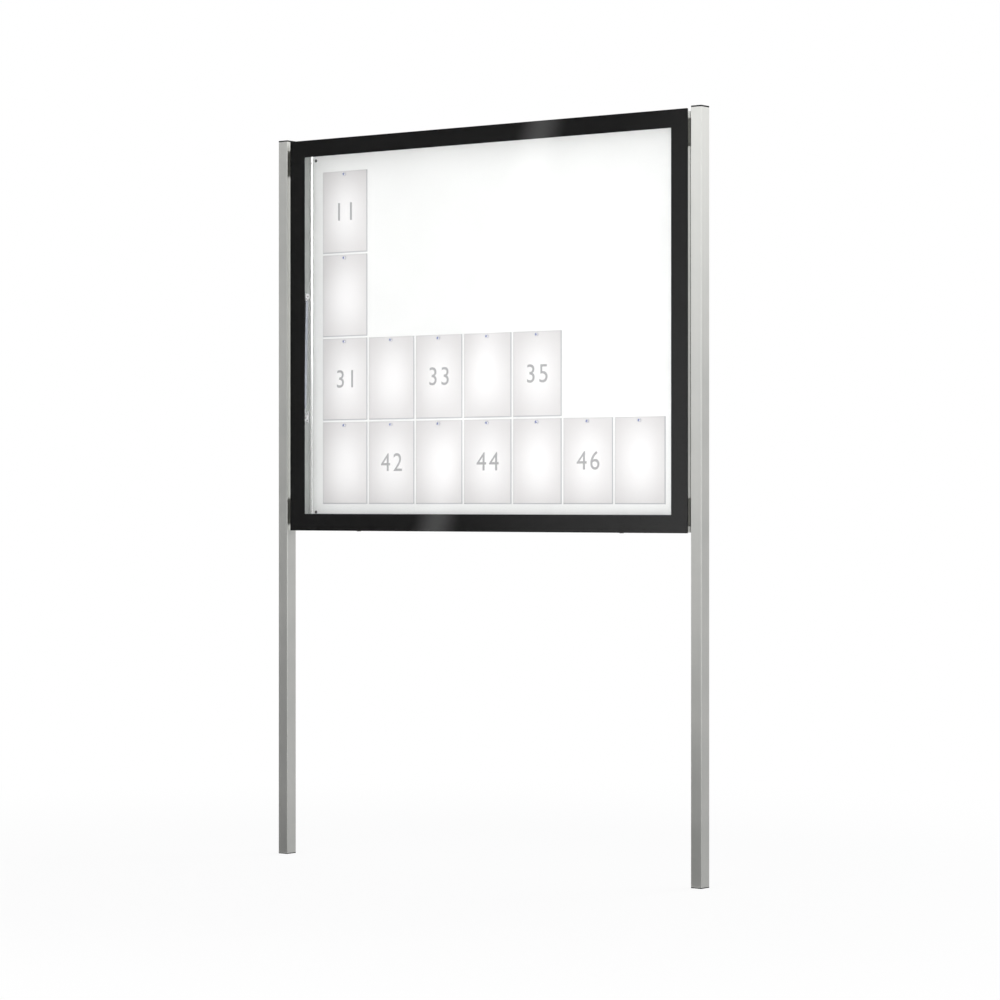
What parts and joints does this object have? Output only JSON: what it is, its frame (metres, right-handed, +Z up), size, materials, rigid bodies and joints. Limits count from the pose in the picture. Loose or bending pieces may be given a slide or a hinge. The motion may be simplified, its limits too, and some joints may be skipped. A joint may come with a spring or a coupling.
{
  "type": "lockable notice board",
  "caption": "Lockable outdoor notice board on two posts, with a top-hinged glass door on gas springs and a white magnetic panel for sheets.",
  "frame": {"origin": "on the ground, under the middle of the board: centre of the bounding box's bottom", "axes": "+X along the width, to the right as seen from the front; +Y from the glass door to the back; +Z up"},
  "size_m": [1.862, 0.082, 2.603],
  "materials": {
    "anodised_aluminium": "silver anodised, satin",
    "cast_aluminium": "plain cast, matt",
    "rear_cover_sheet": "plain sheet, matt",
    "black_plastic": "fine texture",
    "spacer_plastic": "fine texture",
    "silver_plastic": "satin",
    "white_steel": "white powder coat, satin",
    "clear_glass": "clear, toughened",
    "black_print": "black ink on the back of the glass",
    "black_sealant": "cured silicone",
    "black_rubber": "matt",
    "zinc_steel": "bright zinc plated",
    "stainless_steel": "plain stainless",
    "chromed_steel": "polished",
    "nickel_plated_brass": "nickel plated",
    "brass": "turned",
    "paper": "plain white paper"
  },
  "bodies": {
    "case_and_posts": {"bolt_access_plugs": "silver_plastic", "case_bottom_rail": "anodised_aluminium", "case_corner_keys": "cast_aluminium", "case_left_stile": "anodised_aluminium", "case_right_stile": "anodised_aluminium", "case_top_rail": "anodised_aluminium", "display_panel": "white_steel", "door_seal": "black_rubber", "hinge_case_leaf": "anodised_aluminium", "hinge_case_screws": "stainless_steel", "hinge_pin": "stainless_steel", "lock_housing_left": "nickel_plated_brass", "lock_housing_right": "nickel_plated_brass", "lock_nuts": "nickel_plated_brass", "notice_magnets": "chromed_steel", "notice_sheets_row_1": "paper", "notice_sheets_row_2": "paper", "notice_sheets_row_3": "paper", "notice_sheets_row_4": "paper", "post_bolts": "zinc_steel", "post_cap_left": "black_plastic", "post_cap_right": "black_plastic", "post_foot_left": "black_plastic", "post_foot_right": "black_plastic", "post_left": "anodised_aluminium", "post_nut_plates": "zinc_steel", "post_right": "anodised_aluminium", "post_spacers": "spacer_plastic", "rear_cover": "rear_cover_sheet", "spring_case_bracket_left": "zinc_steel", "spring_case_bracket_right": "zinc_steel", "spring_case_screws": "stainless_steel", "spring_case_studs": "stainless_steel", "wall_hole_grommets": "black_rubber"},
    "door": {"door_glass": "clear_glass", "door_border_print": "black_print", "door_glass_bond": "black_sealant", "door_top_rail": "anodised_aluminium", "door_bottom_rail": "anodised_aluminium", "door_left_stile": "anodised_aluminium", "door_right_stile": "anodised_aluminium", "door_corner_keys": "cast_aluminium", "hinge_door_leaf": "anodised_aluminium", "hinge_door_screws": "stainless_steel", "spring_door_bracket_left": "zinc_steel", "spring_door_bracket_right": "zinc_steel", "spring_door_studs": "stainless_steel", "spring_door_screws": "stainless_steel"},
    "spring_rod_left": {"gas_spring_rod_left": "chromed_steel", "gas_spring_piston_left": "brass"},
    "spring_cylinder_left": {"gas_spring_cylinder_left": "stainless_steel"},
    "lock_left": {"lock_plug_left": "brass", "lock_cam_left": "zinc_steel", "lock_cam_screw_left": "stainless_steel"},
    "spring_rod_right": {"gas_spring_rod_right": "chromed_steel", "gas_spring_piston_right": "brass"},
    "spring_cylinder_right": {"gas_spring_cylinder_right": "stainless_steel"},
    "lock_right": {"lock_plug_right": "brass", "lock_cam_right": "zinc_steel", "lock_cam_screw_right": "stainless_steel"}
  },
  "joints": [
    {"name": "door_swing", "type": "hinge", "parent": "case_and_posts", "child": "door", "pos_m": [0, -0.0206, 2.592], "axis": [-1, 0, 0], "range_deg": [0, 50]},
    {"name": "gas_spring_left_pivot", "type": "hinge", "parent": "case_and_posts", "child": "spring_rod_left", "pos_m": [-0.827, -0.0153, 1.5926], "axis": [1, 0, 0], "range_deg": [0, 35.5]},
    {"name": "gas_spring_left_stroke", "type": "slide", "parent": "spring_rod_left", "child": "spring_cylinder_left", "axis": [0, 0.0228, 0.9997], "range_m": [0, 0.319]},
    {"name": "gas_spring_right_pivot", "type": "hinge", "parent": "case_and_posts", "child": "spring_rod_right", "pos_m": [0.827, -0.0153, 1.5926], "axis": [1, 0, 0], "range_deg": [0, 35.5]},
    {"name": "gas_spring_right_stroke", "type": "slide", "parent": "spring_rod_right", "child": "spring_cylinder_right", "axis": [0, 0.0228, 0.9997], "range_m": [0, 0.319]},
    {"name": "lock_left_turn", "type": "hinge", "parent": "case_and_posts", "child": "lock_left", "pos_m": [-0.58, -0.004, 1.19], "axis": [0, 0, -1], "range_deg": [0, 90]},
    {"name": "lock_right_turn", "type": "hinge", "parent": "case_and_posts", "child": "lock_right", "pos_m": [0.58, -0.004, 1.19], "axis": [0, 0, -1], "range_deg": [0, 90]}
  ],
  "couplings": [
    {"joint": "gas_spring_left_pivot", "follows": "door_swing", "ratio": 0.70801},
    {"joint": "gas_spring_left_stroke", "follows": "door_swing", "m_per_rad": 0.36509},
    {"joint": "gas_spring_right_pivot", "follows": "door_swing", "ratio": 0.70801},
    {"joint": "gas_spring_right_stroke", "follows": "door_swing", "m_per_rad": 0.36509}
  ]
}
